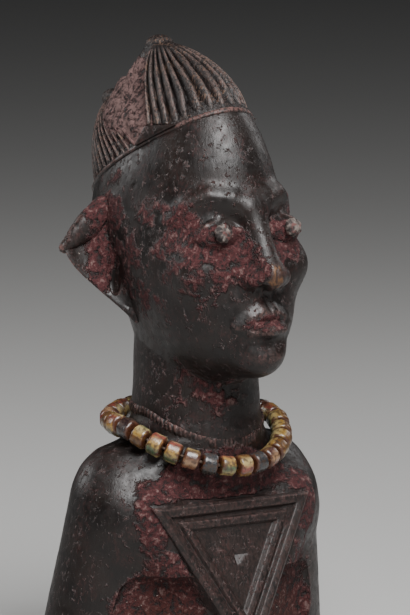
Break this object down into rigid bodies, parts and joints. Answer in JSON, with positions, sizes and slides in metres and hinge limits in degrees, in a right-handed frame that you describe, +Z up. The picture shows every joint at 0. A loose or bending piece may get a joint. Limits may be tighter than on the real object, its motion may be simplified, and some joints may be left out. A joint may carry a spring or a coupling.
{
  "type": "carved wood figure bust",
  "caption": "Dark carved wood bust of a figure with a ridged crested coiffure, winged ears, a triangular chest pendant, iron eye studs and a bead necklace; stands on its flat base.",
  "frame": {"origin": "middle of the flat underside, on the axis of the neck", "axes": "+Z up along the neck, -Y the way the face looks, -X the figure's right side"},
  "size_m": [0.095, 0.0826, 0.1793],
  "materials": {
    "wood": "dark waxed patina, semi-gloss, with red camwood crust in the hollows",
    "iron": "rusted and crusted, matte",
    "thread": "dark twisted cotton, matte",
    "bead_yellow": "opaque ochre glass, worn gloss",
    "bead_red": "opaque brick red glass, worn gloss",
    "bead_dark": "opaque near-black glass, worn gloss"
  },
  "bodies": {
    "root": {"carved_figure": "wood", "right_eye_stud": "iron", "left_eye_stud": "iron", "bead_01": "bead_yellow", "bead_02": "bead_dark", "bead_03": "bead_red", "bead_04": "bead_yellow", "bead_05": "bead_yellow", "bead_06": "bead_yellow", "bead_07": "bead_yellow", "bead_08": "bead_yellow", "bead_09": "bead_dark", "bead_10": "bead_yellow", "bead_11": "bead_yellow", "bead_12": "bead_red", "bead_13": "bead_yellow", "bead_14": "bead_yellow", "bead_15": "bead_yellow", "bead_16": "bead_dark", "bead_17": "bead_yellow", "bead_18": "bead_yellow", "bead_19": "bead_yellow", "bead_20": "bead_red", "bead_21": "bead_yellow", "bead_22": "bead_yellow", "bead_23": "bead_dark", "bead_24": "bead_yellow", "bead_25": "bead_yellow", "bead_26": "bead_yellow", "bead_27": "bead_red", "bead_28": "bead_dark", "bead_29": "bead_yellow", "necklace_thread": "thread"}
  },
  "joints": []
}
